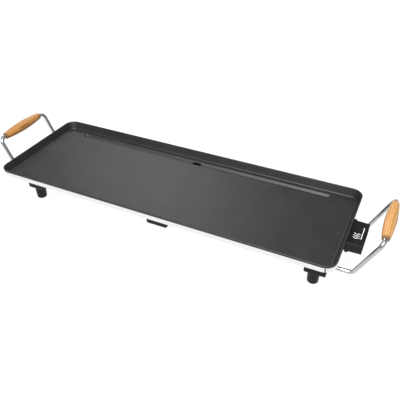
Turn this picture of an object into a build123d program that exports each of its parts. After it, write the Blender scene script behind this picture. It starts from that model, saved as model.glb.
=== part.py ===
"""Electric griddle: a long cast pan on a sheet steel base, with wire handles and a drip tray.

Millimetres. The origin is on the table, under the middle of the whole outline.
+X runs along the pan to the thermostat socket, +Y to the back, +Z up.
"""

import os
from math import atan2, degrees

from build123d import *

# ---- Driving dimensions ----

# Pan
RIM_LENGTH = 721.0
RIM_WIDTH = 251.0
RIM_HEIGHT = 103.0
RIM_CORNER = 23.0
RIM_TOP_WIDTH = 3.0
LIP_HEIGHT = 5.0
PAN_DEPTH = 16.5
PAN_FLOOR = 4.0
PAN_DRAFT = 22.0
BODY_INSET = 0.4

# Drain trough along the back of the pan
TROUGH_LENGTH = 604.0
TROUGH_WIDTH = 15.4
TROUGH_DEPTH = 3.5
TROUGH_Y = 98.0
SLOT_LENGTH = 21.6
SLOT_WIDTH = 7.0
SLOT_Y = 100.2

# Base shell
SKIRT_INSET = 1.6
SKIRT_TOP_GAP = 0.6
SKIRT_BOTTOM = RIM_HEIGHT - 15.0
BASE_BOTTOM = RIM_HEIGHT - 39.5
BASE_FLAT_LENGTH = 664.0
BASE_FLAT_WIDTH = 191.0
SEAM_X = 344.0
SHEET = 0.8

# Handles
WIRE = 8.0
WIRE_SPREAD = 71.0
WIRE_INNER = 250.0
HANDLE_REACH = {"left": 395.5, "right": 421.5}
HANDLE_LEAN = 38.0
HANDLE_RISE = 78.5
TOP_BEND = 13.0
KINK_BEND = 11.0
GRIP_LENGTH = 111.4
GRIP_MIDDLE = 21.5
GRIP_END = 13.6
GRIP_CLEARANCE = 0.08
SADDLE_X = 264.0
SADDLE_WING = 10.0
SADDLE_SHEET = 1.2

# Feet
FOOT_X = 319.0
FOOT_SHIFT = -2.0
FOOT_Y = 58.5
BLOCK_LENGTH = 41.0
BLOCK_WIDTH = 34.0
BLOCK_SHIFT = 3.5
BLOCK_BOTTOM = RIM_HEIGHT - 71.5
POST_TOP_RADIUS = 11.8
POST_BOTTOM_RADIUS = 10.7
PAD_PROUD = 0.8

# Drip tray
TRAY_FRONT_Y = -86.5
TRAY_BACK_Y = 110.0
TRAY_WIDTH = 44.4
TRAY_BOTTOM = RIM_HEIGHT - 58.5
TRAY_FRONT_WIDTH = 46.0
TRAY_FRONT_THICKNESS = 7.5

# Thermostat socket
SOCKET_FACE = 389.0
SOCKET_WIDTH = 70.0
SOCKET_TOP = RIM_HEIGHT - 9.5
SOCKET_BOTTOM = RIM_HEIGHT - 30.0
PIN_SPACING = 40.0
PIN_RADIUS = 2.0
PLATE_FACE = 331.0
TUBE_END = 333.0
BEAD = 8.5

# Heating element
TUBE = 6.5
OUTER_RUN = 80.0
INNER_RUN = 26.0

# ---- Worked out from them ----

# The right handle reaches further out, so the pan's middle is beside the origin.
PAN_X = (HANDLE_REACH["left"] - HANDLE_REACH["right"]) / 2
PAN_TOP_FLOOR = RIM_HEIGHT - PAN_DEPTH
PAN_UNDERSIDE = PAN_TOP_FLOOR - PAN_FLOOR
BASE_FLOOR = BASE_BOTTOM + SHEET
WIRE_Z = BASE_BOTTOM - 0.3 - WIRE / 2
GRIP_Z = WIRE_Z + HANDLE_RISE
TUBE_Z = PAN_UNDERSIDE - 0.05 - 0.3 - TUBE / 2
CLAMP_TOP = TUBE_Z - TUBE / 2 - 0.05
SPACER_TOP = PAN_UNDERSIDE - 5.5
SIDES = {"left": -1, "right": 1}
ENDS = {"front": -1, "rear": 1}
SPACERS = [(PAN_X + sx * x, sy * 53.0) for x in (95.0, 285.0) for sx in (-1, 1) for sy in (-1, 1)]
ELEMENT_CLAMPS = [(PAN_X + sx * 190.0, sy * 53.0) for sx in (-1, 1) for sy in (-1, 1)]
FEET = [(PAN_X + FOOT_SHIFT + sx * FOOT_X, sy * FOOT_Y) for sx in (-1, 1) for sy in (-1, 1)]
VENTS = [(PAN_X + sx * x, 0.0) for x in (60.0, 142.0, 224.0) for sx in (-1, 1)]
SADDLES = [(PAN_X + sx * SADDLE_X, sy * WIRE_SPREAD) for sx in (-1, 1) for sy in (-1, 1)]
SADDLE_SCREWS = [(x, y + dy) for x, y in SADDLES for dy in (-SADDLE_WING, SADDLE_WING)]
RAIL_RIVETS = [(PAN_X + sx * 32.6, y) for sx in (-1, 1) for y in (-62.0, 4.0, 70.0)]
PLATE_RIVETS = [(PAN_X + PLATE_FACE - 7.0, sy * 34.0) for sy in (-1, 1)]

os.makedirs("parts", exist_ok=True)


def save(piece, name):
    """Label a finished piece and write it to its own file."""
    piece.part.label = name
    export_step(piece.part, f"parts/{name}.step")


def element_plan(height):
    """The element's centre line in plan: four runs, from one pin round to the other."""
    points = [
        (PAN_X + TUBE_END, -PIN_SPACING / 2, height),
        (PAN_X + 315.0, -PIN_SPACING / 2, height),
        (PAN_X + 315.0, -OUTER_RUN, height),
        (PAN_X - 320.0, -OUTER_RUN, height),
        (PAN_X - 320.0, -INNER_RUN, height),
        (PAN_X + 276.0, -INNER_RUN, height),
    ]
    points += [(x, -y, z) for x, y, z in reversed(points)]
    return points, [12.0, 15.0, 26.9, 26.9, 25.9, 25.9, 26.9, 26.9, 15.0, 12.0]


# ---- Pan ----

with BuildPart() as griddle_plate:
    # Body of the pan, with its draft, and the lip that overhangs the base
    with BuildSketch(Plane.XY.offset(RIM_HEIGHT)):
        with Locations((PAN_X, 0)):
            inset = 2 * BODY_INSET
            RectangleRounded(RIM_LENGTH - inset, RIM_WIDTH - inset, RIM_CORNER - BODY_INSET)
    extrude(amount=-(PAN_DEPTH + PAN_FLOOR), taper=PAN_DRAFT)
    fillet(griddle_plate.edges().group_by(Axis.Z)[0], 6.0)
    with BuildSketch(Plane.XY.offset(RIM_HEIGHT)):
        with Locations((PAN_X, 0)):
            RectangleRounded(RIM_LENGTH, RIM_WIDTH, RIM_CORNER)
    extrude(amount=-LIP_HEIGHT, taper=15.0)
    # Inside of the pan
    with BuildSketch(Plane.XY.offset(RIM_HEIGHT)):
        with Locations((PAN_X, 0)):
            inset = 2 * RIM_TOP_WIDTH
            RectangleRounded(RIM_LENGTH - inset, RIM_WIDTH - inset, RIM_CORNER - RIM_TOP_WIDTH)
    extrude(amount=-PAN_DEPTH, taper=PAN_DRAFT, mode=Mode.SUBTRACT)
    floor_edges = griddle_plate.edges().filter_by_position(
        Axis.Z, PAN_TOP_FLOOR - 0.1, PAN_TOP_FLOOR + 0.1
    )
    fillet(floor_edges, 3.0)
    rim_edges = griddle_plate.edges().group_by(Axis.Z)[-1]
    fillet(rim_edges, 1.3)
    # Rib under the trough, then the trough and the drain nozzle
    with BuildSketch(Plane.XY.offset(PAN_UNDERSIDE + 0.5)):
        with Locations((PAN_X, TROUGH_Y)):
            SlotOverall(TROUGH_LENGTH + 6.0, TROUGH_WIDTH + 3.0)
    extrude(amount=-2.5, taper=20.0)
    with BuildSketch(Plane.XY.offset(PAN_UNDERSIDE + 0.5)):
        with Locations((PAN_X, SLOT_Y)):
            SlotOverall(SLOT_LENGTH + 6.0, SLOT_WIDTH + 6.0)
    extrude(amount=-(PAN_UNDERSIDE + 0.5 - (BASE_BOTTOM - 4.5)))
    with BuildSketch(Plane.XY.offset(PAN_TOP_FLOOR)):
        with Locations((PAN_X, TROUGH_Y)):
            SlotOverall(TROUGH_LENGTH, TROUGH_WIDTH)
    extrude(amount=-TROUGH_DEPTH, taper=50.0, mode=Mode.SUBTRACT)
    with BuildSketch(Plane.XY.offset(PAN_TOP_FLOOR)):
        with Locations((PAN_X, SLOT_Y)):
            SlotOverall(SLOT_LENGTH, SLOT_WIDTH)
    extrude(amount=-60.0, mode=Mode.SUBTRACT)
    with BuildSketch(Plane.XY.offset(PAN_UNDERSIDE - 1.0)):
        with Locations((PAN_X, SLOT_Y)):
            SlotOverall(SLOT_LENGTH + 2.6, SLOT_WIDTH + 2.6)
    extrude(amount=-60.0, mode=Mode.SUBTRACT)
    # Ribs that the element is pressed between
    with BuildSketch(Plane.XY.offset(PAN_UNDERSIDE + 0.5)):
        with BuildLine():
            corners, radii = element_plan(0)
            FilletPolyline(*[(x, y) for x, y, _ in corners[1:-1]], radius=radii[1:-1])
        trace(line_width=TUBE + 6.0)
    extrude(amount=-4.5)
    with BuildSketch(Plane.XY.offset(PAN_UNDERSIDE - 4.0)):
        with BuildLine():
            FilletPolyline(*[(x, y) for x, y, _ in corners], radius=radii)
        trace(line_width=TUBE + 0.3)
    extrude(amount=4.0, mode=Mode.SUBTRACT)
    # Bosses for the spacers' screws and for the element clamps' screws
    with BuildSketch(Plane.XY.offset(PAN_UNDERSIDE + 0.5)):
        with Locations(*SPACERS):
            Circle(6.0)
    extrude(amount=-(PAN_UNDERSIDE + 0.5 - SPACER_TOP))
    with BuildSketch(Plane.XY.offset(PAN_UNDERSIDE + 0.5)):
        with Locations(*ELEMENT_CLAMPS):
            Circle(5.0)
    extrude(amount=-(PAN_UNDERSIDE + 0.5 - CLAMP_TOP))
    with BuildSketch(Plane.XY.offset(CLAMP_TOP)):
        with Locations(*ELEMENT_CLAMPS):
            Circle(2.0)
    extrude(amount=7.0, mode=Mode.SUBTRACT)
    with BuildSketch(Plane.XY.offset(SPACER_TOP)):
        with Locations(*SPACERS):
            Circle(2.0)
    extrude(amount=6.5, mode=Mode.SUBTRACT)
    # Block that takes the inner end of the probe's guide
    with BuildSketch(Plane.XY.offset(PAN_UNDERSIDE + 0.5)):
        with Locations((PAN_X + 297.0, 0)):
            RectangleRounded(16.0, 16.0, 2.0)
    extrude(amount=-9.5)
    with BuildSketch(Plane.YZ.offset(PAN_X + 292.0)):
        with Locations((0, TUBE_Z)):
            Circle(3.5)
    extrude(amount=20.0, mode=Mode.SUBTRACT)
save(griddle_plate, "griddle_plate")

# ---- Heating element and what holds it ----

with BuildPart() as heating_element:
    with BuildLine() as element_line:
        corners, radii = element_plan(TUBE_Z)
        FilletPolyline(*corners, radius=radii)
    with BuildSketch(Plane(element_line.line @ 0, z_dir=element_line.line % 0)):
        Circle(TUBE / 2)
    sweep()
save(heating_element, "heating_element")

with BuildPart() as ceramic_bushings:
    with BuildSketch(Plane.YZ.offset(PAN_X + TUBE_END)):
        with GridLocations(PIN_SPACING, 0, 2, 1):
            with Locations((0, TUBE_Z)):
                Circle(TUBE / 2)
                Circle(PIN_RADIUS, mode=Mode.SUBTRACT)
    extrude(amount=BEAD)
save(ceramic_bushings, "ceramic_bushings")

with BuildPart() as terminal_pins:
    with BuildSketch(Plane.YZ.offset(PAN_X + TUBE_END)):
        with GridLocations(PIN_SPACING, 0, 2, 1):
            with Locations((0, TUBE_Z)):
                Circle(PIN_RADIUS)
    extrude(amount=46.0)
    chamfer(terminal_pins.faces().group_by(Axis.X)[-1].edges(), 0.6)
save(terminal_pins, "terminal_pins")

with BuildPart() as element_clamps:
    with BuildSketch(Plane.XY.offset(CLAMP_TOP)):
        with Locations(*ELEMENT_CLAMPS):
            RectangleRounded(14.0, 68.0, 3.0)
            Circle(2.3, mode=Mode.SUBTRACT)
    extrude(amount=-1.5)
save(element_clamps, "element_clamps")


def pan_head_screws(places, seat, head_radius, head_height, shank, length):
    """Round-headed screws put in from below, their heads against the given height."""
    with BuildPart() as screws:
        with BuildSketch(Plane.XY.offset(seat - head_height)):
            with Locations(*places):
                Circle(head_radius)
        extrude(amount=head_height)
        fillet(screws.faces().group_by(Axis.Z)[0].edges(), head_height * 0.45)
        with BuildSketch(Plane.XY.offset(seat - 0.1)):
            with Locations(*places):
                Circle(shank)
        extrude(amount=length + 0.1)
        with BuildSketch(Plane.XY.offset(seat - head_height)):
            with Locations(*places):
                Rectangle(head_radius * 1.1, 0.9)
                Rectangle(0.9, head_radius * 1.1)
        extrude(amount=head_height * 0.5, mode=Mode.SUBTRACT)
    return screws


save(pan_head_screws(ELEMENT_CLAMPS, CLAMP_TOP - 1.5, 3.8, 2.2, 2.0, 7.5), "clamp_screws")

# ---- Base shell, reflector and spacers ----

SKIRT_LENGTH = RIM_LENGTH - 2 * SKIRT_INSET
SKIRT_WIDTH = RIM_WIDTH - 2 * SKIRT_INSET
SKIRT_CORNER = RIM_CORNER - SKIRT_INSET
SKIRT_TOP = RIM_HEIGHT - LIP_HEIGHT - SKIRT_TOP_GAP


def base_solid(inset, bottom):
    """The shell's outline as a solid: an upright skirt, then sides that lean in to a flat."""
    with BuildPart() as solid:
        with BuildSketch(Plane.XY.offset(SKIRT_BOTTOM)):
            with Locations((PAN_X, 0)):
                RectangleRounded(SKIRT_LENGTH - inset, SKIRT_WIDTH - inset, SKIRT_CORNER - inset / 2)
        extrude(amount=SKIRT_TOP - SKIRT_BOTTOM)
        with BuildSketch(Plane.XY.offset(SKIRT_BOTTOM)):
            with Locations((PAN_X, 0)):
                RectangleRounded(SKIRT_LENGTH - inset, SKIRT_WIDTH - inset, SKIRT_CORNER - inset / 2)
        with BuildSketch(Plane.XY.offset(bottom)):
            with Locations((PAN_X, 0)):
                RectangleRounded(BASE_FLAT_LENGTH - inset, BASE_FLAT_WIDTH - inset, 8.0)
        loft(ruled=True)
    return solid.part


outer_solid = base_solid(0.0, BASE_BOTTOM)
inner_solid = base_solid(2 * SHEET, BASE_FLOOR)

with BuildPart() as base_shell:
    add(outer_solid)
    add(inner_solid, mode=Mode.SUBTRACT)
    # Holes for the screws and rivets
    with BuildSketch(Plane.XY.offset(BASE_BOTTOM)):
        with Locations(*SPACERS, *FEET):
            Circle(2.3)
        with Locations(*RAIL_RIVETS, *PLATE_RIVETS):
            Circle(1.6)
        with Locations(*SADDLE_SCREWS):
            Circle(1.5)
    extrude(amount=SHEET, mode=Mode.SUBTRACT)
    # Rows of cooling slots
    with BuildSketch(Plane.XY.offset(BASE_BOTTOM)):
        with Locations(*VENTS):
            with GridLocations(8.0, 0, 6, 1):
                SlotOverall(34.0, 3.0, rotation=90)
    extrude(amount=SHEET, mode=Mode.SUBTRACT)
    # Window for the drain nozzle, and the one for the thermostat socket
    with BuildSketch(Plane.XY.offset(BASE_BOTTOM)):
        with Locations((PAN_X, SLOT_Y)):
            SlotOverall(SLOT_LENGTH + 8.0, SLOT_WIDTH + 8.0)
    extrude(amount=20.0, mode=Mode.SUBTRACT)
    with BuildSketch(Plane.YZ.offset(PAN_X + 335.0)):
        with Locations((0, (RIM_HEIGHT - 8.6 + SOCKET_BOTTOM - 0.6) / 2)):
            Rectangle(74.0, RIM_HEIGHT - 8.6 - SOCKET_BOTTOM + 0.6)
    extrude(amount=40.0, mode=Mode.SUBTRACT)
    # Open seam at the front right corner, where the ends of the sheet meet
    with BuildSketch(Plane.XY.offset(SKIRT_BOTTOM)):
        with Locations((PAN_X + SEAM_X, -RIM_WIDTH / 2 + 3.0)):
            Rectangle(2.0, 5.0)
    extrude(amount=SKIRT_TOP - SKIRT_BOTTOM - 0.8, mode=Mode.SUBTRACT)
save(base_shell, "base_shell")

with BuildPart() as reflector_sheet:
    with BuildSketch(Plane.XY.offset(BASE_FLOOR)):
        with Locations((PAN_X, 0)):
            RectangleRounded(596.0, 170.0, 12.0)
        with Locations(*SPACERS, *SADDLE_SCREWS):
            Circle(2.3, mode=Mode.SUBTRACT)
        with Locations(*VENTS):
            with GridLocations(8.0, 0, 6, 1):
                SlotOverall(30.0, 2.4, rotation=90, mode=Mode.SUBTRACT)
    extrude(amount=0.6)
save(reflector_sheet, "reflector_sheet")

with BuildPart() as plate_spacers:
    with BuildSketch(Plane.XY.offset(BASE_FLOOR + 0.6)):
        with Locations(*SPACERS):
            Circle(5.5)
            Circle(2.4, mode=Mode.SUBTRACT)
    extrude(amount=SPACER_TOP - BASE_FLOOR - 0.6)
save(plate_spacers, "plate_spacers")

screw_length = SPACER_TOP - BASE_BOTTOM + 5.5
save(pan_head_screws(SPACERS, BASE_BOTTOM, 4.0, 2.4, 2.0, screw_length), "plate_screws")

# ---- Thermostat socket ----

SOCKET_MIDDLE = (SOCKET_TOP + SOCKET_BOTTOM) / 2
SOCKET_HEIGHT = SOCKET_TOP - SOCKET_BOTTOM
TONGUE_TOP = PAN_UNDERSIDE - 0.6
COLLAR_FACE = RIM_LENGTH / 2 - SKIRT_INSET + 0.3
PIN_PLACES = [(sy * PIN_SPACING / 2, TUBE_Z) for sy in (-1, 1)]
SCREW_PLACES = [(sy * 11.6, SOCKET_BOTTOM + 2.6) for sy in (-1, 1)]

with BuildPart() as inlet_housing:
    # Tongue that reaches under the pan, collar against the skirt, and the shroud
    with BuildSketch(Plane.YZ.offset(PAN_X + PLATE_FACE)):
        with Locations((0, (TONGUE_TOP + SOCKET_BOTTOM) / 2)):
            Rectangle(68.0, TONGUE_TOP - SOCKET_BOTTOM)
    extrude(amount=30.0)
    with BuildSketch(Plane.YZ.offset(PAN_X + COLLAR_FACE)):
        with Locations((0, SOCKET_MIDDLE - 0.2)):
            RectangleRounded(SOCKET_WIDTH + 5.6, SOCKET_HEIGHT + 2.8, 2.0)
    extrude(amount=5.8)
    with BuildSketch(Plane.YZ.offset(PAN_X + COLLAR_FACE)):
        with Locations((0, SOCKET_MIDDLE)):
            RectangleRounded(SOCKET_WIDTH + 2.4, SOCKET_HEIGHT, 1.6)
    extrude(amount=SOCKET_FACE - COLLAR_FACE, taper=1.6)
    # Hollow that the thermostat plugs into
    with BuildSketch(Plane.YZ.offset(PAN_X + SOCKET_FACE)):
        with Locations((0, SOCKET_MIDDLE)):
            RectangleRounded(SOCKET_WIDTH - 5.5, SOCKET_HEIGHT - 4.2, 1.5)
    extrude(amount=-(SOCKET_FACE - COLLAR_FACE - 2.5), mode=Mode.SUBTRACT)
    # Ways through the back wall for beads, pins, probe guide, earth blade and screws
    with BuildSketch(Plane.YZ.offset(PAN_X + PLATE_FACE)):
        with Locations(*PIN_PLACES):
            Circle(TUBE / 2 + 0.1)
    extrude(amount=TUBE_END + BEAD - PLATE_FACE, mode=Mode.SUBTRACT)
    with BuildSketch(Plane.YZ.offset(PAN_X + PLATE_FACE)):
        with Locations(*PIN_PLACES):
            Circle(PIN_RADIUS)
        with Locations((0, TUBE_Z)):
            Circle(3.5)
        with Locations((29.0, TUBE_Z)):
            Rectangle(6.3, 1.0)
    extrude(amount=32.0, mode=Mode.SUBTRACT)
    with BuildSketch(Plane.YZ.offset(PAN_X + PLATE_FACE)):
        with Locations(*SCREW_PLACES):
            Circle(1.5)
    extrude(amount=10.0, mode=Mode.SUBTRACT)
save(inlet_housing, "inlet_housing")

with BuildPart() as probe_tube:
    with BuildSketch(Plane.YZ.offset(PAN_X + 292.0)):
        with Locations((0, TUBE_Z)):
            Circle(3.5)
    extrude(amount=70.0)
    with BuildSketch(Plane.YZ.offset(PAN_X + 294.0)):
        with Locations((0, TUBE_Z)):
            Circle(3.05)
    extrude(amount=70.0, mode=Mode.SUBTRACT)
save(probe_tube, "probe_tube")

with BuildPart() as terminal_plate:
    # Upright behind the socket, with slots open at the top, and a foot on the base's floor
    with BuildSketch(Plane.YZ.offset(PAN_X + PLATE_FACE - 1.2)):
        with Locations((0, (TONGUE_TOP + BASE_FLOOR) / 2)):
            Rectangle(84.0, TONGUE_TOP - BASE_FLOOR)
        for y, half in ((-PIN_SPACING / 2, 3.5), (PIN_SPACING / 2, 3.5), (0.0, 3.7)):
            with Locations((y, TUBE_Z - half + 6.0)):
                Rectangle(2 * half, 12.0, mode=Mode.SUBTRACT)
        with Locations((29.0, TUBE_Z)):
            Rectangle(6.4, 1.2, mode=Mode.SUBTRACT)
        with Locations(*SCREW_PLACES):
            Circle(1.6, mode=Mode.SUBTRACT)
    extrude(amount=1.2)
    with BuildSketch(Plane.XY.offset(BASE_FLOOR)):
        with Locations((PAN_X + PLATE_FACE - 7.5, 0)):
            Rectangle(15.0, 84.0)
        with Locations(*PLATE_RIVETS):
            Circle(1.6, mode=Mode.SUBTRACT)
    extrude(amount=1.2)
save(terminal_plate, "terminal_plate")

with BuildPart() as terminal_rivets:
    with BuildSketch(Plane.XY.offset(BASE_BOTTOM - 1.2)):
        with Locations(*PLATE_RIVETS):
            Circle(3.0)
    extrude(amount=1.2)
    fillet(terminal_rivets.faces().group_by(Axis.Z)[0].edges(), 0.9)
    with BuildSketch(Plane.XY.offset(BASE_BOTTOM - 0.1)):
        with Locations(*PLATE_RIVETS):
            Circle(1.6)
    extrude(amount=0.1 + SHEET + 1.2)
save(terminal_rivets, "terminal_rivets")

with BuildPart() as earth_blade:
    # Flat blade in the socket, with a leg turned down behind the terminal plate
    with BuildSketch(Plane.YZ.offset(PAN_X + PLATE_FACE - 3.4)):
        with Locations((29.0, TUBE_Z)):
            Rectangle(6.3, 1.0)
    extrude(amount=50.0)
    with BuildSketch(Plane.YZ.offset(PAN_X + PLATE_FACE - 2.2)):
        with Locations((29.0, TUBE_Z - 3.0)):
            Rectangle(6.3, 7.0)
    extrude(amount=1.0)
save(earth_blade, "earth_blade")

with BuildPart() as inlet_screws:
    with BuildSketch(Plane.YZ.offset(PAN_X + PLATE_FACE - 3.2)):
        with Locations(*SCREW_PLACES):
            Circle(2.5)
    extrude(amount=2.0)
    fillet(inlet_screws.faces().group_by(Axis.X)[0].edges(), 0.8)
    with BuildSketch(Plane.YZ.offset(PAN_X + PLATE_FACE - 1.3)):
        with Locations(*SCREW_PLACES):
            Circle(1.5)
    extrude(amount=10.0)
save(inlet_screws, "inlet_screws")

# ---- Handles ----

for side, sign in SIDES.items():
    reach = HANDLE_REACH[side]
    grip_x = PAN_X + sign * reach
    with BuildPart() as handle_wire:
        with BuildLine() as wire_line:
            half = [
                (PAN_X + sign * WIRE_INNER, -WIRE_SPREAD, WIRE_Z),
                (PAN_X + sign * (reach - HANDLE_LEAN), -WIRE_SPREAD, WIRE_Z),
                (grip_x, -WIRE_SPREAD, GRIP_Z),
            ]
            corners = half + [(x, -y, z) for x, y, z in reversed(half)]
            FilletPolyline(*corners, radius=[KINK_BEND, TOP_BEND, TOP_BEND, KINK_BEND])
        with BuildSketch(Plane(wire_line.line @ 0, z_dir=wire_line.line % 0)):
            Circle(WIRE / 2)
        sweep()
    save(handle_wire, f"handle_wire_{side}")

    # Turned barrel, bored to turn freely on the wire
    with BuildPart() as grip:
        with BuildSketch(Plane(origin=(grip_x, 0, GRIP_Z), x_dir=(0, 1, 0), z_dir=(0, 0, 1))):
            with BuildLine():
                half_length = GRIP_LENGTH / 2
                bore = WIRE / 2 + GRIP_CLEARANCE
                Polyline(
                    (-half_length, GRIP_END / 2),
                    (-half_length, bore),
                    (half_length, bore),
                    (half_length, GRIP_END / 2),
                )
                ThreePointArc(
                    (-half_length, GRIP_END / 2), (0, GRIP_MIDDLE / 2), (half_length, GRIP_END / 2)
                )
            make_face()
        revolve(axis=Axis((grip_x, 0, GRIP_Z), (0, 1, 0)))
        end_rings = grip.edges().filter_by(GeomType.CIRCLE).filter_by(
            lambda edge: edge.radius > GRIP_END / 2 - 0.1
        )
        fillet(end_rings, 1.5)
    save(grip, f"grip_{side}")

with BuildPart() as handle_clamps:
    # Saddles pressed over the wires, with a wing each side
    hollow = WIRE / 2 + 0.1
    for x, y in SADDLES:
        with BuildSketch(Plane.YZ.offset(x - 6.0)):
            with Locations((y, BASE_BOTTOM - SADDLE_SHEET / 2 - 0.02)):
                Rectangle(2 * SADDLE_WING + 9.0, SADDLE_SHEET)
            with Locations((y, WIRE_Z)):
                Circle(hollow + SADDLE_SHEET)
            with Locations((y, BASE_BOTTOM + 2.98)):
                Rectangle(2 * SADDLE_WING + 9.0, 6.0, mode=Mode.SUBTRACT)
            with Locations((y, WIRE_Z)):
                Circle(hollow, mode=Mode.SUBTRACT)
            with Locations((y, (WIRE_Z + BASE_BOTTOM) / 2)):
                Rectangle(2 * hollow, BASE_BOTTOM - WIRE_Z, mode=Mode.SUBTRACT)
        extrude(amount=12.0)
    with BuildSketch(Plane.XY.offset(BASE_BOTTOM - 3.0)):
        with Locations(*SADDLE_SCREWS):
            Circle(1.5)
    extrude(amount=3.0, mode=Mode.SUBTRACT)
save(handle_clamps, "handle_clamps")

saddle_seat = BASE_BOTTOM - SADDLE_SHEET - 0.02
save(pan_head_screws(SADDLE_SCREWS, saddle_seat, 3.0, 1.8, 1.5, 4.0), "handle_clamp_screws")

# ---- Feet ----

for side, sign in SIDES.items():
    for end, end_sign in ENDS.items():
        x = PAN_X + FOOT_SHIFT + sign * FOOT_X
        y = end_sign * FOOT_Y
        block_top = BASE_BOTTOM - 0.02
        post_height = BLOCK_BOTTOM - PAD_PROUD
        post_draft = degrees(atan2(POST_TOP_RADIUS - POST_BOTTOM_RADIUS, post_height))
        with BuildPart() as foot:
            with BuildSketch(Plane.XY.offset(block_top)):
                with Locations((x + BLOCK_SHIFT, y)):
                    RectangleRounded(BLOCK_LENGTH, BLOCK_WIDTH, 2.5)
            extrude(amount=-(block_top - BLOCK_BOTTOM))
            fillet(foot.faces().sort_by(Axis.Z)[0].edges(), 2.2)
            with BuildSketch(Plane.XY.offset(BLOCK_BOTTOM)):
                with Locations((x, y)):
                    Circle(POST_TOP_RADIUS)
            extrude(amount=-post_height, taper=post_draft)
            fillet(foot.edges().group_by(Axis.Z)[0], 2.5)
            # Step for the handle's wire, well for the screw, seat for the pad
            with BuildSketch(Plane.YZ.offset(x - 26.0)):
                with Locations((end_sign * (WIRE_SPREAD - WIRE / 2 - 0.1), block_top)):
                    corner = (Align.MAX if end_sign < 0 else Align.MIN, Align.MAX)
                    Rectangle(20.0, WIRE + 0.5, align=corner)
            extrude(amount=52.0, mode=Mode.SUBTRACT)
            with BuildSketch(Plane.XY.offset(0)):
                with Locations((x, y)):
                    Circle(2.2)
            extrude(amount=RIM_HEIGHT, mode=Mode.SUBTRACT)
            with BuildSketch(Plane.XY.offset(0)):
                with Locations((x, y)):
                    Circle(5.4)
            extrude(amount=BLOCK_BOTTOM + 4.0, mode=Mode.SUBTRACT)
            with BuildSketch(Plane.XY.offset(0)):
                with Locations((x, y)):
                    Circle(7.0)
            extrude(amount=2.0, mode=Mode.SUBTRACT)
        save(foot, f"foot_{end}_{side}")

with BuildPart() as foot_pads:
    with BuildSketch(Plane.XY):
        with Locations(*FEET):
            Circle(7.0)
    extrude(amount=2.0)
    chamfer(foot_pads.faces().group_by(Axis.Z)[0].edges(), 0.4)
    with BuildSketch(Plane.XY.offset(2.0)):
        with Locations(*FEET):
            Circle(5.4)
    extrude(amount=6.0)
save(foot_pads, "foot_pads")

foot_screw_seat = BLOCK_BOTTOM + 4.0
foot_screw_length = BASE_BOTTOM + 4.0 - foot_screw_seat
save(pan_head_screws(FEET, foot_screw_seat, 4.2, 2.8, 2.2, foot_screw_length), "foot_screws")

# ---- Drip tray and its rails ----

RAIL_FRONT, RAIL_BACK = TRAY_FRONT_Y + 8.1, 90.0
RAIL_TOP = BASE_BOTTOM - 0.02
LEDGE_TOP = RIM_HEIGHT - 47.0
FLANGE_Z = LEDGE_TOP + 0.3

for side, sign in SIDES.items():
    with BuildPart() as rail:
        with BuildSketch(Plane.XZ.offset(-RAIL_FRONT)):
            with BuildLine():
                Polyline(
                    (PAN_X + sign * 38.0, RAIL_TOP),
                    (PAN_X + sign * 26.2, RAIL_TOP),
                    (PAN_X + sign * 26.2, LEDGE_TOP),
                    (PAN_X + sign * 23.2, LEDGE_TOP),
                    (PAN_X + sign * 23.2, LEDGE_TOP - 1.0),
                    (PAN_X + sign * 27.2, LEDGE_TOP - 1.0),
                    (PAN_X + sign * 27.2, RAIL_TOP - 1.0),
                    (PAN_X + sign * 38.0, RAIL_TOP - 1.0),
                    close=True,
                )
            make_face()
        extrude(amount=-(RAIL_BACK - RAIL_FRONT))
        with BuildSketch(Plane.XY.offset(RAIL_TOP - 1.0)):
            with Locations(*RAIL_RIVETS):
                Circle(1.6)
        extrude(amount=1.0, mode=Mode.SUBTRACT)
    save(rail, f"rail_{side}")

with BuildPart() as rail_rivets:
    with BuildSketch(Plane.XY.offset(RAIL_TOP - 2.4)):
        with Locations(*RAIL_RIVETS):
            Circle(3.0)
    extrude(amount=1.4)
    fillet(rail_rivets.faces().group_by(Axis.Z)[0].edges(), 1.0)
    with BuildSketch(Plane.XY.offset(RAIL_TOP - 1.1)):
        with Locations(*RAIL_RIVETS):
            Circle(1.6)
    extrude(amount=1.1 + SHEET + 0.02)
save(rail_rivets, "rail_rivets")

TRAY_WALL_Y = TRAY_FRONT_Y + TRAY_FRONT_THICKNESS
TRAY_RIVETS = [(PAN_X + sx * 12.0, RIM_HEIGHT - 51.0) for sx in (-1, 1)]

with BuildPart() as drip_tray:
    # Folded trough with a flange along each side, open at the top
    tray_length = TRAY_BACK_Y - TRAY_WALL_Y
    tray_middle = (TRAY_BACK_Y + TRAY_WALL_Y) / 2
    with BuildSketch(Plane.XY.offset(FLANGE_Z + SHEET)):
        with Locations((PAN_X, tray_middle)):
            RectangleRounded(TRAY_WIDTH, tray_length, 3.0)
    extrude(amount=-(FLANGE_Z + SHEET - TRAY_BOTTOM))
    fillet(drip_tray.faces().sort_by(Axis.Z)[0].edges(), 2.4)
    offset(amount=-SHEET, openings=drip_tray.faces().sort_by(Axis.Z)[-1])
    with BuildSketch(Plane.XY.offset(FLANGE_Z)):
        with Locations((PAN_X, tray_middle)):
            Rectangle(TRAY_WIDTH + 7.2, tray_length)
            RectangleRounded(
                TRAY_WIDTH - 2 * SHEET, tray_length - 2 * SHEET, 2.2, mode=Mode.SUBTRACT
            )
    extrude(amount=SHEET)
    with BuildSketch(Plane.XZ.offset(-(TRAY_WALL_Y - 1.0))):
        with Locations(*TRAY_RIVETS):
            Circle(1.6)
    extrude(amount=-3.0, mode=Mode.SUBTRACT)
save(drip_tray, "drip_tray")

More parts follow.
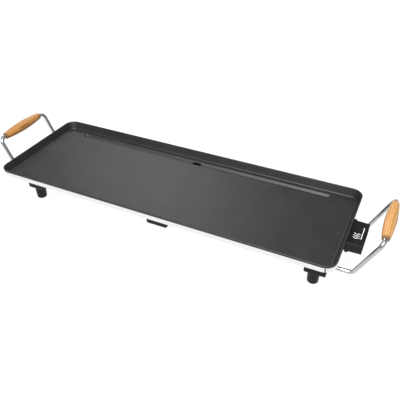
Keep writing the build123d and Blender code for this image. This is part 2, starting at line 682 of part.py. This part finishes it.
with BuildPart() as tray_front:
    # Moulded front, a little wider than the tray
    with BuildSketch(Plane.XZ.offset(-TRAY_WALL_Y)):
        with Locations((PAN_X, RIM_HEIGHT - 51.55)):
            RectangleRounded(TRAY_FRONT_WIDTH, 15.9, 3.6)
    extrude(amount=TRAY_FRONT_THICKNESS)
    fillet(tray_front.faces().sort_by(Axis.Y)[0].edges(), 1.2)
    with BuildSketch(Plane.XZ.offset(-TRAY_WALL_Y)):
        with Locations(*TRAY_RIVETS):
            Circle(1.6)
    extrude(amount=3.0, mode=Mode.SUBTRACT)
save(tray_front, "tray_front")

with BuildPart() as tray_rivets:
    with BuildSketch(Plane.XZ.offset(-(TRAY_WALL_Y + SHEET))):
        with Locations(*TRAY_RIVETS):
            Circle(1.6)
    extrude(amount=3.0 + SHEET)
    with BuildSketch(Plane.XZ.offset(-(TRAY_WALL_Y + SHEET))):
        with Locations(*TRAY_RIVETS):
            Circle(3.0)
    extrude(amount=-1.2)
save(tray_rivets, "tray_rivets")
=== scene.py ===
"""Electric griddle: a long non-stick pan on a polished base, with wire handles and a drip tray."""
import math

import bpy
import numpy as np
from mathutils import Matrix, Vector


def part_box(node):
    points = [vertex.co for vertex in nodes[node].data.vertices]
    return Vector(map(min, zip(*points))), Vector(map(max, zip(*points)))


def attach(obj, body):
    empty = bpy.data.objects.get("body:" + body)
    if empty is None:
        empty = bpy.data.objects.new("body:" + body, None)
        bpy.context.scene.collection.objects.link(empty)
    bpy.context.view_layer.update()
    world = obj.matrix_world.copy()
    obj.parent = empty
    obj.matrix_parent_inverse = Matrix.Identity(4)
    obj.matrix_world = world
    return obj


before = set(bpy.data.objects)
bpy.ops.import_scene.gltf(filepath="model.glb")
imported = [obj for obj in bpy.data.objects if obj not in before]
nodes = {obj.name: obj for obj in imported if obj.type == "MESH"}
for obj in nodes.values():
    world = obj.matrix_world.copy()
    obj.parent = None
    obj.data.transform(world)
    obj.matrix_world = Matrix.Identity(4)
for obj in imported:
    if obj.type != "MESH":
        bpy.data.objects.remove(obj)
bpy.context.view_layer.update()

# ---- Camera ----
# A normal lens above the front right of the griddle, looking down along its length. Its
# place is given from the middle of the pan at the height of the rim.

pan_low, pan_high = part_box("griddle_plate")
pan_x = (pan_low.x + pan_high.x) / 2
rim_z = pan_high.z
CAMERA_PLACE = (0.42053, -0.76527, 0.57679)
CAMERA_AZIMUTH = 25.509
CAMERA_DOWN = 35.838
CAMERA_LENS = 45.58914

camera_data = bpy.data.cameras.new("camera")
camera_data.lens = CAMERA_LENS
camera_data.clip_start = 0.05
camera = bpy.data.objects.new("camera", camera_data)
camera.location = Vector(CAMERA_PLACE) + Vector((pan_x, 0.0, rim_z))
camera.rotation_euler = (math.radians(90 - CAMERA_DOWN), 0.0, math.radians(CAMERA_AZIMUTH))
bpy.context.scene.collection.objects.link(camera)
bpy.context.scene.camera = camera

# ---- Studio ----
# A white table lit from within, a pale room, and three broad soft lights. The table's own
# glow makes it plain white, with hardly a shadow on it.


def linear(code):
    """A colour from its sRGB hex code: each part is put through the sRGB curve's inverse."""
    parts = [int(code[i:i + 2], 16) / 255 for i in (0, 2, 4)]
    parts = [c / 12.92 if c <= 0.04045 else ((c + 0.055) / 1.055) ** 2.4 for c in parts]
    return (*parts, 1.0)


def add(tree, kind, settings=None, **inputs):
    """Adds a node with its settings. An input is a value or a socket to link, and its key is
    the socket's name with _ for a space, or i and its number."""
    new = tree.nodes.new(kind)
    for key, value in (settings or {}).items():
        setattr(new, key, value)
    for key, value in inputs.items():
        numbered = key[0] == "i" and key[1:].isdigit()
        socket = new.inputs[int(key[1:]) if numbered else key.replace("_", " ")]
        if isinstance(value, bpy.types.NodeSocket):
            tree.links.new(value, socket)
        else:
            socket.default_value = value
    return new


def material(name):
    """An empty material: returns it and its tree."""
    made = bpy.data.materials.new(name)
    made.use_nodes = True
    made.node_tree.nodes.clear()
    return made, made.node_tree


def surface(tree, **inputs):
    """Gives a material its shader, linked to the output."""
    shader = add(tree, "ShaderNodeBsdfPrincipled", **inputs)
    add(tree, "ShaderNodeOutputMaterial", Surface=shader.outputs["BSDF"])


TABLE_SIZE = 16.0

world = bpy.data.worlds.new("studio_room")
world.use_nodes = True
room = world.node_tree.nodes["Background"]
room.inputs["Color"].default_value = linear("e4e6e8")
room.inputs["Strength"].default_value = 0.35
bpy.context.scene.world = world
bpy.context.scene.view_settings.view_transform = "Standard"

paper, tree = material("white_table")
surface(
    tree,
    Base_Color=linear("4c4c4c"),
    Roughness=0.9,
    Emission_Color=linear("ffffff"),
    Emission_Strength=0.96,
)
table_mesh = bpy.data.meshes.new("studio_table")
reach = TABLE_SIZE / 2
corners = [(-reach, -reach, 0), (reach, -reach, 0), (reach, reach, 0), (-reach, reach, 0)]
table_mesh.from_pydata(corners, [], [(0, 1, 2, 3)])
table_mesh.materials.append(paper)
table = bpy.data.objects.new("studio_table", table_mesh)
bpy.context.scene.collection.objects.link(table)

# Each light: its place, where it points, its width and height, and its power
LIGHTS = {
    "light_back_left": ((-0.88, 1.34, 1.28), (-0.05, -0.05, 0.1), (0.9, 0.6), 9.0),
    "light_overhead": ((0.0, 0.1, 2.2), (0.0, 0.0, 0.1), (1.6, 1.0), 6.0),
    "light_front": ((0.25, -1.25, 2.0), (0.1, 0.1, 0.08), (1.3, 0.6), 100.0),
}
for name, (place, aim, size, watts) in LIGHTS.items():
    light = bpy.data.lights.new(name, "AREA")
    light.shape = "RECTANGLE"
    light.size, light.size_y = size
    light.energy = watts
    lamp = bpy.data.objects.new(name, light)
    lamp.location = place
    lamp.rotation_euler = (Vector(aim) - Vector(place)).to_track_quat("-Z", "Y").to_euler()
    bpy.context.scene.collection.objects.link(lamp)

# ---- Pan ----
# Die-cast aluminium, blasted, sprayed black with a non-stick coating and baked. The spray
# leaves a fine stipple and a few paler flecks. Below the floor of the trough the colour is painted
# near black as painted shade, for the dark inside of the drain slot, and it covers the underside too.

# Millimetres
STIPPLE = 0.9
WAVINESS = 45.0
FLECK_SPACING = 2.6

# Metres below the rim, between the floor of the trough and the underside: where the painted shade
# starts and where it is full
SHADE_FADE_STARTS = 0.0201
SHADE_FULL_BELOW = 0.0204


def ramp(tree, factor, stops):
    """A colour ramp: stops are (place, colour), and a plain number is a grey."""
    new = add(tree, "ShaderNodeValToRGB", Fac=factor)
    elements = new.color_ramp.elements
    while len(elements) < len(stops):
        elements.new(0.5)
    for element, (place, colour) in zip(elements, stops):
        element.position = place
        element.color = colour if isinstance(colour, tuple) else (colour,) * 3 + (1.0,)
    return new.outputs["Color"]


def dress(made, *names):
    """Gives CAD nodes a finished material in place of the plain one."""
    for name in names:
        nodes[name].data.materials.clear()
        nodes[name].data.materials.append(made)


nonstick, tree = material("nonstick_coating")
place = add(tree, "ShaderNodeTexCoord").outputs["Object"]
stipple = add(
    tree,
    "ShaderNodeTexNoise",
    Vector=place,
    Scale=1000 / STIPPLE,
    Detail=3.0,
    Roughness=0.6,
)
waves = add(tree, "ShaderNodeTexNoise", Vector=place, Scale=1000 / WAVINESS, Detail=2.0)
flecks = add(tree, "ShaderNodeTexVoronoi", Vector=place, Scale=1000 / FLECK_SPACING)
fleck_mask = ramp(tree, flecks.outputs["Distance"], [(0.06, 1.0), (0.13, 0.0)])
fleck_strength = add(
    tree,
    "ShaderNodeMath",
    {"operation": "MULTIPLY"},
    i0=fleck_mask,
    i1=waves.outputs["Fac"],
)
tone = ramp(tree, waves.outputs["Fac"], [(0.3, linear("1a1a1c")), (0.7, linear("222224"))])
flecked = add(
    tree,
    "ShaderNodeMix",
    {"data_type": "RGBA"},
    Factor=fleck_strength.outputs[0],
    i6=tone,
    i7=linear("323235"),
)
height = add(tree, "ShaderNodeSeparateXYZ", Vector=place).outputs["Z"]
# Painted shade: below the floor of the trough the colour goes near black, so the drain slot's inside
# looks dark; it reaches the whole underside.
slot_shade_mask = add(
    tree,
    "ShaderNodeMapRange",
    Value=height,
    i1=rim_z - SHADE_FADE_STARTS,
    i2=rim_z - SHADE_FULL_BELOW,
    i3=0.0,
    i4=1.0,
)
slot_shaded = add(
    tree,
    "ShaderNodeMix",
    {"data_type": "RGBA"},
    Factor=slot_shade_mask.outputs[0],
    i6=flecked.outputs[2],
    i7=linear("080808"),
)
gloss = add(
    tree,
    "ShaderNodeMapRange",
    Value=stipple.outputs["Fac"],
    i1=0.3,
    i2=0.7,
    i3=0.42,
    i4=0.54,
)
bumps = add(
    tree,
    "ShaderNodeBump",
    Height=stipple.outputs["Fac"],
    Strength=0.35,
    Distance=0.00012,
)
surface(
    tree,
    Base_Color=slot_shaded.outputs[2],
    Roughness=gloss.outputs[0],
    Normal=bumps.outputs[0],
    IOR=1.45,
)
dress(nonstick, "griddle_plate")

# ---- Base and tray ----
# Stainless sheet, pressed and polished, with the faint lines of the polishing belt along
# it. It mirrors the table. The tray under the drain is folded from the same sheet.

# Cycles in a metre along X, Y and Z: level streaks about 70 mm long and 0.5 mm apart
BELT_LINES = (14.0, 14.0, 1800.0)

polished, tree = material("polished_stainless")
place = add(tree, "ShaderNodeTexCoord").outputs["Object"]
stretched = add(tree, "ShaderNodeMapping", Vector=place, Scale=BELT_LINES)
belt = add(tree, "ShaderNodeTexNoise", Vector=stretched.outputs[0], Scale=1.0, Detail=4.0)
shine = add(tree, "ShaderNodeMapRange", Value=belt.outputs["Fac"], i1=0.3, i2=0.7, i3=0.10, i4=0.2)
lines = add(tree, "ShaderNodeBump", Height=belt.outputs["Fac"], Strength=0.12, Distance=0.00004)
surface(
    tree,
    Base_Color=linear("e4e4e3"),
    Metallic=1.0,
    Roughness=shine.outputs[0],
    Normal=lines.outputs[0],
)
dress(polished, "base_shell", "drip_tray")

# ---- Handle wires ----
# Bent steel rod, polished and chromium plated, held to the base by saddles underneath. It
# mirrors the dark pan on one side and the white table on the other.

# Cycles in a metre: the plating's haze changes every 10 mm or so
HAZE = 90.0

chrome, tree = material("chromium_plate")
place = add(tree, "ShaderNodeTexCoord").outputs["Object"]
haze = add(tree, "ShaderNodeTexNoise", Vector=place, Scale=HAZE, Detail=3.0)
shine = add(tree, "ShaderNodeMapRange", Value=haze.outputs["Fac"], i1=0.35, i2=0.7, i3=0.24, i4=0.32)
surface(tree, Base_Color=linear("b9babd"), Metallic=1.0, Roughness=shine.outputs[0])
dress(chrome, "handle_wire_left", "handle_wire_right")

# ---- Grips ----
# Turned beech, oiled, each loose on its wire. The grain runs along the barrel, with rings
# where the turning cuts through the growth layers, dark pores, and darker end grain. The
# left one's colours are painted darker than the right's, as painted shade on the shaded grip.

GROWTH_LAYERS = 70.0
# Cycles in a metre across, along and across the barrel
PORES = (1600.0, 60.0, 1600.0)
# Metres from each end
END_GRAIN_FADES = 0.004
END_GRAIN_FULL = 0.0012

# The two colour pairs differ as painted light: the left grip's darker pair is painted shade, the
# right's paler pair is lit.
for side, pale, dark in (("left", "a9773f", "80552a"), ("right", "bc8d56", "9a6a38")):
    low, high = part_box(f"grip_{side}")
    middle = (low + high) / 2
    beech, tree = material(f"oiled_beech_painted_light_{side}")
    place = add(tree, "ShaderNodeTexCoord").outputs["Object"]
    centred = add(tree, "ShaderNodeMapping", Vector=place, Location=tuple(-middle))
    layers = add(
        tree,
        "ShaderNodeMapping",
        Vector=centred.outputs[0],
        Rotation=(0.02, 0.3, 0.05),
        Scale=(1.0, 0.08, 1.0),
    )
    rings = add(
        tree,
        "ShaderNodeTexWave",
        {"wave_type": "BANDS", "bands_direction": "X"},
        Vector=layers.outputs[0],
        Scale=GROWTH_LAYERS,
        Distortion=4.0,
        Detail=3.0,
        Detail_Scale=1.6,
    )
    long_grain = add(tree, "ShaderNodeMapping", Vector=centred.outputs[0], Scale=PORES)
    pores = add(tree, "ShaderNodeTexNoise", Vector=long_grain.outputs[0], Scale=1.0, Detail=3.0)
    wood_tone = ramp(
        tree,
        rings.outputs["Fac"],
        [(0.0, linear(pale)), (0.7, linear(pale)), (1.0, linear(dark))],
    )
    pore_mask = ramp(tree, pores.outputs["Fac"], [(0.5, 0.0), (0.75, 0.55)])
    grained = add(
        tree,
        "ShaderNodeMix",
        {"data_type": "RGBA"},
        Factor=pore_mask,
        i6=wood_tone,
        i7=linear(dark),
    )
    along = add(tree, "ShaderNodeSeparateXYZ", Vector=centred.outputs[0]).outputs["Y"]
    from_middle = add(tree, "ShaderNodeMath", {"operation": "ABSOLUTE"}, i0=along).outputs[0]
    half = (high.y - low.y) / 2
    end_mask = add(
        tree,
        "ShaderNodeMapRange",
        Value=from_middle,
        i1=half - END_GRAIN_FADES,
        i2=half - END_GRAIN_FULL,
        i3=0.0,
        i4=0.65,
    )
    ended = add(
        tree,
        "ShaderNodeMix",
        {"data_type": "RGBA"},
        Factor=end_mask.outputs[0],
        i6=grained.outputs[2],
        i7=linear("4f3317"),
    )
    grooves = add(tree, "ShaderNodeBump", Height=pores.outputs["Fac"], Strength=0.15, Distance=0.0002)
    surface(
        tree,
        Base_Color=ended.outputs[2],
        Roughness=0.42,
        Normal=grooves.outputs[0],
    )
    dress(beech, f"grip_{side}")

# ---- Moulded parts ----
# Feet, socket and the tray's front, moulded in black phenolic. The spark-eroded tool leaves
# a fine even grain.

phenolic, tree = material("moulded_phenolic")
place = add(tree, "ShaderNodeTexCoord").outputs["Object"]
grain = add(tree, "ShaderNodeTexNoise", Vector=place, Scale=1000 / 0.8, Detail=2.0)
mottle = add(tree, "ShaderNodeTexNoise", Vector=place, Scale=1000 / 14.0, Detail=2.0)
tone = ramp(tree, mottle.outputs["Fac"], [(0.3, linear("0a0a0b")), (0.7, linear("111112"))])
gloss = add(tree, "ShaderNodeMapRange", Value=grain.outputs["Fac"], i1=0.3, i2=0.7, i3=0.42, i4=0.58)
pits = add(tree, "ShaderNodeBump", Height=grain.outputs["Fac"], Strength=0.4, Distance=0.0001)
surface(
    tree,
    Base_Color=tone,
    Roughness=gloss.outputs[0],
    Specular_IOR_Level=0.25,
    Normal=pits.outputs[0],
)
dress(
    phenolic,
    "inlet_housing",
    "tray_front",
    "foot_front_left",
    "foot_front_right",
    "foot_rear_left",
    "foot_rear_right",
)

# ---- Mark on the socket ----
# The common sign for a hot surface, three wavy lines over a bar, printed thick in white on
# the top of the socket.

# Metres. X is from the middle of the pan
MARK_LINE = 0.0012
MARK_THICK = 0.00012
MARK_NEAR_X = 0.366
MARK_FAR_X = 0.384
BAR_X = 0.3818
BAR_START_Y = -0.017
BAR_LENGTH = 0.036
WAVE_X = 0.3785
WAVE_LENGTH = 0.0115
WAVE_SWAY = 0.0014
WAVE_TURNS = 1.25
WAVE_MIDDLES = (-0.0165, -0.0105, -0.0045)
LINE_POINTS = 33
ABOVE_ALL = 0.2


def printed_line(name, centre):
    """A printed line along a row of points (N x 2), MARK_LINE wide. Its edges are the row plus
    and minus half a width times the unit normal. Its faces lie MARK_THICK above and below the
    socket's top, whose height is the near point's plus the fall times the distance in X."""
    along = np.gradient(centre, axis=0)
    along /= np.linalg.norm(along, axis=1)[:, None]
    across = np.stack([-along[:, 1], along[:, 0]], axis=1) * MARK_LINE / 2
    edges = np.stack([centre - across, centre + across], axis=1)
    top = mark_near.z + (edges[..., 0] - mark_near.x) * mark_fall
    above = np.concatenate([edges, (top + MARK_THICK)[..., None]], axis=2)
    below = np.concatenate([edges, (top - MARK_THICK)[..., None]], axis=2)
    rings = np.stack([above[:, 0], above[:, 1], below[:, 1], below[:, 0]], axis=1)
    count = len(centre)
    step = np.arange(count - 1)[:, None] * 4
    corner = np.arange(4)
    following = (corner + 1) % 4
    beyond = step + 4
    sides = np.stack([step + corner, step + following, beyond + following, beyond + corner], axis=2)
    caps = np.array([[3, 2, 1, 0], (count - 1) * 4 + corner])
    faces = np.concatenate([sides.reshape(-1, 4), caps])
    mesh = bpy.data.meshes.new(name)
    mesh.from_pydata(rings.reshape(-1, 3).tolist(), [], faces.tolist())
    piece = bpy.data.objects.new(name, mesh)
    bpy.context.scene.collection.objects.link(piece)
    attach(piece, "griddle")
    return piece


def socket_top(x):
    """The point of the socket's top at x along the pan, straight below."""
    above = Vector((pan_x + x, 0.0, ABOVE_ALL))
    return nodes["inlet_housing"].ray_cast(above, Vector((0.0, 0.0, -1.0)))[1]


mark_near = socket_top(MARK_NEAR_X)
mark_far = socket_top(MARK_FAR_X)
mark_fall = (mark_far.z - mark_near.z) / (mark_far.x - mark_near.x)
run = np.linspace(0.0, 1.0, LINE_POINTS)
bar_x = np.full(LINE_POINTS, pan_x + BAR_X)
marks = {"mark_bar": np.stack([bar_x, BAR_START_Y + BAR_LENGTH * run], axis=1)}
for number, middle in enumerate(WAVE_MIDDLES):
    wave_x = pan_x + WAVE_X - WAVE_LENGTH * run
    sway = middle + WAVE_SWAY * np.sin(2 * np.pi * WAVE_TURNS * run)
    marks[f"mark_wave_{number + 1}"] = np.stack([wave_x, sway], axis=1)

ink, tree = material("white_pad_print")
place = add(tree, "ShaderNodeTexCoord").outputs["Object"]
cover = add(tree, "ShaderNodeTexNoise", Vector=place, Scale=1000 / 0.5, Detail=2.0)
tone = ramp(tree, cover.outputs["Fac"], [(0.3, linear("d6d6d3")), (0.7, linear("ecece9"))])
pits = add(tree, "ShaderNodeBump", Height=cover.outputs["Fac"], Strength=0.3, Distance=0.00005)
surface(tree, Base_Color=tone, Roughness=0.55, Normal=pits.outputs[0])
for name, centre in marks.items():
    printed_line(name, centre).data.materials.append(ink)

# ---- Screws, rivets, clamps and rails ----
# Pressed and cold-headed steel, barrel zinc plated: a cool grey with faint blue and straw
# tints where the passivation is thicker, and fine tumbling marks.

zinc, tree = material("zinc_plated_steel")
place = add(tree, "ShaderNodeTexCoord").outputs["Object"]
tints = add(tree, "ShaderNodeTexNoise", Vector=place, Scale=1000 / 9.0, Detail=2.0)
tumbled = add(tree, "ShaderNodeTexNoise", Vector=place, Scale=1000 / 0.6, Detail=4.0, Roughness=0.7)
tone = ramp(
    tree,
    tints.outputs["Fac"],
    [(0.3, linear("aeb6bd")), (0.5, linear("b9bcbc")), (0.7, linear("bdb9a6"))],
)
gloss = add(tree, "ShaderNodeMapRange", Value=tumbled.outputs["Fac"], i1=0.3, i2=0.7, i3=0.26, i4=0.44)
dents = add(tree, "ShaderNodeBump", Height=tumbled.outputs["Fac"], Strength=0.25, Distance=0.00006)
surface(tree, Base_Color=tone, Metallic=1.0, Roughness=gloss.outputs[0], Normal=dents.outputs[0])
dress(
    zinc,
    "element_clamps",
    "clamp_screws",
    "plate_screws",
    "terminal_plate",
    "terminal_rivets",
    "inlet_screws",
    "handle_clamps",
    "handle_clamp_screws",
    "foot_screws",
    "rail_left",
    "rail_right",
    "rail_rivets",
    "tray_rivets",
)

# ---- Pins, probe guide and earth blade ----
# Drawn pins and guide and a pressed blade, pushed into the socket's back wall. Their nickel
# plate is warm in tone, with drawing lines running along it.

nickel, tree = material("nickel_plate")
place = add(tree, "ShaderNodeTexCoord").outputs["Object"]
drawn = add(tree, "ShaderNodeMapping", Vector=place, Scale=(1000 / 20.0, 1000 / 0.3, 1000 / 0.3))
lines = add(tree, "ShaderNodeTexNoise", Vector=drawn.outputs[0], Scale=1.0, Detail=3.0)
gloss = add(tree, "ShaderNodeMapRange", Value=lines.outputs["Fac"], i1=0.3, i2=0.7, i3=0.14, i4=0.26)
score = add(tree, "ShaderNodeBump", Height=lines.outputs["Fac"], Strength=0.2, Distance=0.00003)
surface(
    tree,
    Base_Color=linear("cdc8bb"),
    Metallic=1.0,
    Roughness=gloss.outputs[0],
    Normal=score.outputs[0],
)
dress(nickel, "terminal_pins", "probe_tube", "earth_blade")

# ---- Heating element ----
# Steel sheath packed with mineral powder, swaged to size, then browned by its own heat in
# uneven patches.

sheath, tree = material("heat_browned_sheath")
place = add(tree, "ShaderNodeTexCoord").outputs["Object"]
patches = add(tree, "ShaderNodeTexNoise", Vector=place, Scale=1000 / 22.0, Detail=3.0)
scale = add(tree, "ShaderNodeTexNoise", Vector=place, Scale=1000 / 0.7, Detail=3.0)
tone = ramp(
    tree,
    patches.outputs["Fac"],
    [(0.32, linear("4a3f37")), (0.5, linear("5d564f")), (0.68, linear("3c3a3d"))],
)
gloss = add(tree, "ShaderNodeMapRange", Value=scale.outputs["Fac"], i1=0.3, i2=0.7, i3=0.42, i4=0.62)
flakes = add(tree, "ShaderNodeBump", Height=scale.outputs["Fac"], Strength=0.35, Distance=0.00008)
surface(tree, Base_Color=tone, Metallic=0.7, Roughness=gloss.outputs[0], Normal=flakes.outputs[0])
dress(sheath, "heating_element")

# ---- Bushings and spacers ----
# Pressed steatite, fired and left unglazed: a chalky off-white with fine pores and the odd
# iron speck.

steatite, tree = material("fired_steatite")
place = add(tree, "ShaderNodeTexCoord").outputs["Object"]
body = add(tree, "ShaderNodeTexNoise", Vector=place, Scale=1000 / 5.0, Detail=3.0)
pores = add(tree, "ShaderNodeTexNoise", Vector=place, Scale=1000 / 0.3, Detail=2.0)
specks = add(tree, "ShaderNodeTexVoronoi", Vector=place, Scale=1000 / 1.6)
speck_mask = ramp(tree, specks.outputs["Distance"], [(0.08, 0.6), (0.14, 0.0)])
tone = ramp(tree, body.outputs["Fac"], [(0.3, linear("ddd6c6")), (0.7, linear("ebe6da"))])
speckled = add(
    tree,
    "ShaderNodeMix",
    {"data_type": "RGBA"},
    Factor=speck_mask,
    i6=tone,
    i7=linear("8a7a66"),
)
chalk = add(tree, "ShaderNodeBump", Height=pores.outputs["Fac"], Strength=0.3, Distance=0.00006)
surface(tree, Base_Color=speckled.outputs[2], Roughness=0.72, Normal=chalk.outputs[0])
dress(steatite, "ceramic_bushings", "plate_spacers")

# ---- Reflector ----
# Bright aluminium sheet, cut and punched, laid on the floor of the base under the element,
# with the mill's rolling lines along its length.

rolled, tree = material("rolled_aluminium")
place = add(tree, "ShaderNodeTexCoord").outputs["Object"]
mill = add(tree, "ShaderNodeMapping", Vector=place, Scale=(1000 / 60.0, 1000 / 0.4, 1000 / 0.4))
lines = add(tree, "ShaderNodeTexNoise", Vector=mill.outputs[0], Scale=1.0, Detail=4.0)
gloss = add(tree, "ShaderNodeMapRange", Value=lines.outputs["Fac"], i1=0.3, i2=0.7, i3=0.2, i4=0.34)
rolling = add(tree, "ShaderNodeBump", Height=lines.outputs["Fac"], Strength=0.15, Distance=0.00004)
surface(
    tree,
    Base_Color=linear("dfe1e3"),
    Metallic=1.0,
    Roughness=gloss.outputs[0],
    Normal=rolling.outputs[0],
)
dress(rolled, "reflector_sheet")

# ---- Foot pads ----
# Moulded black rubber plugs pushed up into the feet, matt, with the grey bloom that such
# rubber gets.

rubber, tree = material("moulded_rubber")
place = add(tree, "ShaderNodeTexCoord").outputs["Object"]
bloom = add(tree, "ShaderNodeTexNoise", Vector=place, Scale=1000 / 4.0, Detail=3.0)
skin = add(tree, "ShaderNodeTexNoise", Vector=place, Scale=1000 / 0.4, Detail=2.0)
tone = ramp(tree, bloom.outputs["Fac"], [(0.35, linear("191919")), (0.7, linear("2a2a29"))])
gloss = add(tree, "ShaderNodeMapRange", Value=skin.outputs["Fac"], i1=0.3, i2=0.7, i3=0.68, i4=0.86)
matt = add(tree, "ShaderNodeBump", Height=skin.outputs["Fac"], Strength=0.4, Distance=0.00006)
surface(tree, Base_Color=tone, Roughness=gloss.outputs[0], Normal=matt.outputs[0])
dress(rubber, "foot_pads")
